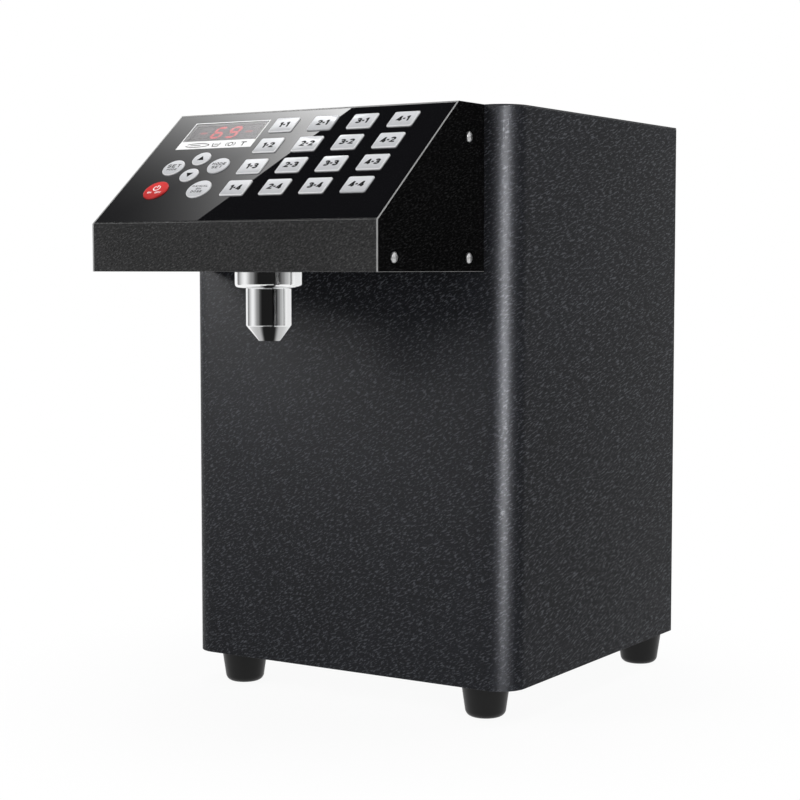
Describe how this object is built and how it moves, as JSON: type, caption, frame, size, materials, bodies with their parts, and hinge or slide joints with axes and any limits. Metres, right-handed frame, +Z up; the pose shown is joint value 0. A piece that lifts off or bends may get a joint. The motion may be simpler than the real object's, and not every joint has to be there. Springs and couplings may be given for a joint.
{
  "type": "fructose dispenser",
  "caption": "Countertop syrup dispenser: black sheet-steel casing, sloping keypad head with a digit display, polished nozzle, lift-off tank lid and a gear pump.",
  "frame": {"origin": "on the floor under the middle of the whole machine's footprint", "axes": "+Z up, the front with the keypad and nozzle faces -Y, +X to the right for someone who stands in front of it"},
  "size_m": [0.282, 0.406, 0.434],
  "materials": {
    "casing_powder_coat": "fine wrinkle-grain powder coat, near black",
    "head_powder_coat": "fine powder coat, dark grey",
    "zinc_steel": "zinc-plated sheet",
    "stainless_sheet": "brushed stainless sheet",
    "screw_steel": "bright nickel-plated",
    "nozzle_chrome": "polished",
    "fitting_steel": "turned stainless",
    "foot_rubber": "matte black",
    "seal_silicone": "translucent white",
    "heater_silicone": "orange-red, matte",
    "hose_silicone": "milky, satin",
    "overlay_gloss": "glossy black",
    "lens_smoke": "smoked, glossy",
    "module_plastic": "black, satin",
    "board_laminate": "green solder mask",
    "key_silver": "silver-white, satin",
    "key_red": "red, satin",
    "pump_plastic": "natural acetal",
    "gear_plastic": "natural acetal, machined",
    "shaft_steel": "ground",
    "motor_zinc": "zinc-plated can",
    "supply_case": "folded sheet",
    "fitting_plastic": "black, fine grain",
    "rocker_plastic": "black, satin"
  },
  "bodies": {
    "casing": {"body_wrap": "casing_powder_coat", "top_deck": "casing_powder_coat", "base_plate": "zinc_steel", "rear_panel": "casing_powder_coat", "rubber_feet": "foot_rubber", "pan_head_screws": "screw_steel", "head_tray": "head_powder_coat", "panel_frame": "head_powder_coat", "left_cheek": "casing_powder_coat", "right_cheek": "casing_powder_coat", "keypad_overlay": "overlay_gloss", "display_window": "lens_smoke", "display_module": "module_plastic", "control_board": "board_laminate", "nozzle_collar": "nozzle_chrome", "nozzle_barrel": "nozzle_chrome", "nozzle_nut": "fitting_steel", "nozzle_elbow": "fitting_steel", "syrup_tank": "stainless_sheet", "tank_shelf": "zinc_steel", "tank_outlet": "fitting_steel", "heater_pad": "heater_silicone", "suction_hose": "hose_silicone", "delivery_hose": "hose_silicone", "pump_housing": "pump_plastic", "pump_cover": "pump_plastic", "pump_motor": "motor_zinc", "pump_bracket": "zinc_steel", "power_supply": "supply_case", "inlet_socket": "fitting_plastic", "switch_frame": "fitting_plastic"},
    "lid": {"tank_lid": "stainless_sheet", "lid_seal": "seal_silicone", "lid_pull": "fitting_steel"},
    "pump_drive": {"drive_gear": "gear_plastic", "motor_shaft": "shaft_steel"},
    "pump_driven": {"driven_gear": "gear_plastic"},
    "rocker": {"power_rocker": "rocker_plastic"},
    "portion_key_1_1": {"portion_key_1_1": "key_silver"},
    "portion_key_1_2": {"portion_key_1_2": "key_silver"},
    "portion_key_1_3": {"portion_key_1_3": "key_silver"},
    "portion_key_1_4": {"portion_key_1_4": "key_silver"},
    "portion_key_2_1": {"portion_key_2_1": "key_silver"},
    "portion_key_2_2": {"portion_key_2_2": "key_silver"},
    "portion_key_2_3": {"portion_key_2_3": "key_silver"},
    "portion_key_2_4": {"portion_key_2_4": "key_silver"},
    "portion_key_3_1": {"portion_key_3_1": "key_silver"},
    "portion_key_3_2": {"portion_key_3_2": "key_silver"},
    "portion_key_3_3": {"portion_key_3_3": "key_silver"},
    "portion_key_3_4": {"portion_key_3_4": "key_silver"},
    "portion_key_4_1": {"portion_key_4_1": "key_silver"},
    "portion_key_4_2": {"portion_key_4_2": "key_silver"},
    "portion_key_4_3": {"portion_key_4_3": "key_silver"},
    "portion_key_4_4": {"portion_key_4_4": "key_silver"},
    "up_button": {"up_button": "key_silver"},
    "down_button": {"down_button": "key_silver"},
    "set_button": {"set_button": "key_silver"},
    "mode_button": {"mode_button": "key_silver"},
    "manual_button": {"manual_button": "key_silver"},
    "power_button": {"power_button": "key_red"}
  },
  "joints": [
    {"name": "portion_key_1_1_press", "type": "slide", "parent": "casing", "child": "portion_key_1_1", "axis": [0, 0.6332, -0.774], "range_m": [0, 0.0005], "stiffness_N_per_m": 600},
    {"name": "portion_key_1_2_press", "type": "slide", "parent": "casing", "child": "portion_key_1_2", "axis": [0, 0.6332, -0.774], "range_m": [0, 0.0005], "stiffness_N_per_m": 600},
    {"name": "portion_key_1_3_press", "type": "slide", "parent": "casing", "child": "portion_key_1_3", "axis": [0, 0.6332, -0.774], "range_m": [0, 0.0005], "stiffness_N_per_m": 600},
    {"name": "portion_key_1_4_press", "type": "slide", "parent": "casing", "child": "portion_key_1_4", "axis": [0, 0.6332, -0.774], "range_m": [0, 0.0005], "stiffness_N_per_m": 600},
    {"name": "portion_key_2_1_press", "type": "slide", "parent": "casing", "child": "portion_key_2_1", "axis": [0, 0.6332, -0.774], "range_m": [0, 0.0005], "stiffness_N_per_m": 600},
    {"name": "portion_key_2_2_press", "type": "slide", "parent": "casing", "child": "portion_key_2_2", "axis": [0, 0.6332, -0.774], "range_m": [0, 0.0005], "stiffness_N_per_m": 600},
    {"name": "portion_key_2_3_press", "type": "slide", "parent": "casing", "child": "portion_key_2_3", "axis": [0, 0.6332, -0.774], "range_m": [0, 0.0005], "stiffness_N_per_m": 600},
    {"name": "portion_key_2_4_press", "type": "slide", "parent": "casing", "child": "portion_key_2_4", "axis": [0, 0.6332, -0.774], "range_m": [0, 0.0005], "stiffness_N_per_m": 600},
    {"name": "portion_key_3_1_press", "type": "slide", "parent": "casing", "child": "portion_key_3_1", "axis": [0, 0.6332, -0.774], "range_m": [0, 0.0005], "stiffness_N_per_m": 600},
    {"name": "portion_key_3_2_press", "type": "slide", "parent": "casing", "child": "portion_key_3_2", "axis": [0, 0.6332, -0.774], "range_m": [0, 0.0005], "stiffness_N_per_m": 600},
    {"name": "portion_key_3_3_press", "type": "slide", "parent": "casing", "child": "portion_key_3_3", "axis": [0, 0.6332, -0.774], "range_m": [0, 0.0005], "stiffness_N_per_m": 600},
    {"name": "portion_key_3_4_press", "type": "slide", "parent": "casing", "child": "portion_key_3_4", "axis": [0, 0.6332, -0.774], "range_m": [0, 0.0005], "stiffness_N_per_m": 600},
    {"name": "portion_key_4_1_press", "type": "slide", "parent": "casing", "child": "portion_key_4_1", "axis": [0, 0.6332, -0.774], "range_m": [0, 0.0005], "stiffness_N_per_m": 600},
    {"name": "portion_key_4_2_press", "type": "slide", "parent": "casing", "child": "portion_key_4_2", "axis": [0, 0.6332, -0.774], "range_m": [0, 0.0005], "stiffness_N_per_m": 600},
    {"name": "portion_key_4_3_press", "type": "slide", "parent": "casing", "child": "portion_key_4_3", "axis": [0, 0.6332, -0.774], "range_m": [0, 0.0005], "stiffness_N_per_m": 600},
    {"name": "portion_key_4_4_press", "type": "slide", "parent": "casing", "child": "portion_key_4_4", "axis": [0, 0.6332, -0.774], "range_m": [0, 0.0005], "stiffness_N_per_m": 600},
    {"name": "up_button_press", "type": "slide", "parent": "casing", "child": "up_button", "axis": [0, 0.6332, -0.774], "range_m": [0, 0.0005], "stiffness_N_per_m": 600},
    {"name": "down_button_press", "type": "slide", "parent": "casing", "child": "down_button", "axis": [0, 0.6332, -0.774], "range_m": [0, 0.0005], "stiffness_N_per_m": 600},
    {"name": "set_button_press", "type": "slide", "parent": "casing", "child": "set_button", "axis": [0, 0.6332, -0.774], "range_m": [0, 0.0005], "stiffness_N_per_m": 600},
    {"name": "mode_button_press", "type": "slide", "parent": "casing", "child": "mode_button", "axis": [0, 0.6332, -0.774], "range_m": [0, 0.0005], "stiffness_N_per_m": 600},
    {"name": "manual_button_press", "type": "slide", "parent": "casing", "child": "manual_button", "axis": [0, 0.6332, -0.774], "range_m": [0, 0.0005], "stiffness_N_per_m": 600},
    {"name": "power_button_press", "type": "slide", "parent": "casing", "child": "power_button", "axis": [0, 0.6332, -0.774], "range_m": [0, 0.0005], "stiffness_N_per_m": 600},
    {"name": "lid_lift", "type": "slide", "parent": "casing", "child": "lid", "axis": [0, 0, 1], "range_m": [0, 0.06]},
    {"name": "rocker_turn", "type": "hinge", "parent": "casing", "child": "rocker", "pos_m": [-0.09, 0.195, 0.11], "axis": [1, 0, 0], "range_deg": [0, 20]},
    {"name": "pump_drive_spin", "type": "hinge", "parent": "casing", "child": "pump_drive", "pos_m": [0, -0.04872, 0.11202], "axis": [0, 1, 0], "continuous": true},
    {"name": "pump_driven_spin", "type": "hinge", "parent": "casing", "child": "pump_driven", "pos_m": [0, -0.04872, 0.08797], "axis": [0, 1, 0], "continuous": true}
  ],
  "couplings": [
    {"joint": "pump_driven_spin", "follows": "pump_drive_spin", "ratio": -1}
  ]
}
